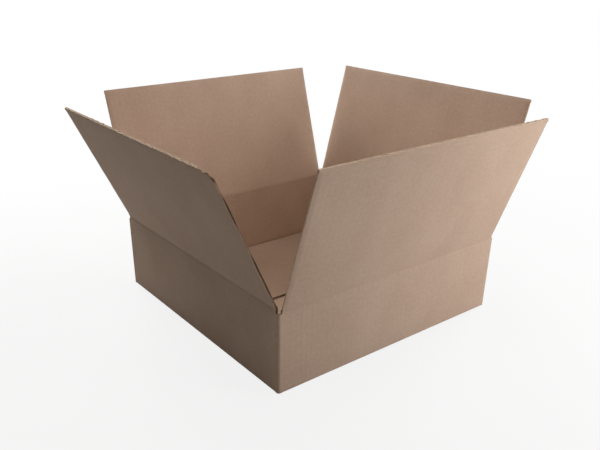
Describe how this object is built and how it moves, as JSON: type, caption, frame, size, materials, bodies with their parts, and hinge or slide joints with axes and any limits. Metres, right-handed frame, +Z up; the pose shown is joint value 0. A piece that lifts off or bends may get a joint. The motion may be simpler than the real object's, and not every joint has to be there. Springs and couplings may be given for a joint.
{
  "type": "open cardboard box",
  "caption": "Square, shallow slotted carton in single-wall corrugated kraft board, standing empty with its top flaps open and hinged on their score lines.",
  "frame": {"origin": "middle of the base, on the surface that the box stands on", "axes": "+Z up out of the box's mouth, +X towards the right wall, +Y towards the back wall"},
  "size_m": [0.4075, 0.3967, 0.2371],
  "materials": {
    "kraft_board": "matte brown kraft liner"
  },
  "bodies": {
    "carton": {"carton": "kraft_board"},
    "front_flap": {"front_flap": "kraft_board"},
    "back_flap": {"back_flap": "kraft_board"},
    "left_flap": {"left_flap": "kraft_board"},
    "right_flap": {"right_flap": "kraft_board"}
  },
  "joints": [
    {"name": "front_fold", "type": "hinge", "parent": "carton", "child": "front_flap", "pos_m": [0, -0.1515, 0.0875], "axis": [1, 0, 0], "range_deg": [-108, 102]},
    {"name": "back_fold", "type": "hinge", "parent": "carton", "child": "back_flap", "pos_m": [0, 0.1515, 0.0875], "axis": [-1, 0, 0], "range_deg": [-107, 103]},
    {"name": "left_fold", "type": "hinge", "parent": "carton", "child": "left_flap", "pos_m": [-0.1515, 0, 0.0909], "axis": [0, -1, 0], "range_deg": [-114.5, 95.5]},
    {"name": "right_fold", "type": "hinge", "parent": "carton", "child": "right_flap", "pos_m": [0.1515, 0, 0.0909], "axis": [0, 1, 0], "range_deg": [-105, 105]}
  ]
}
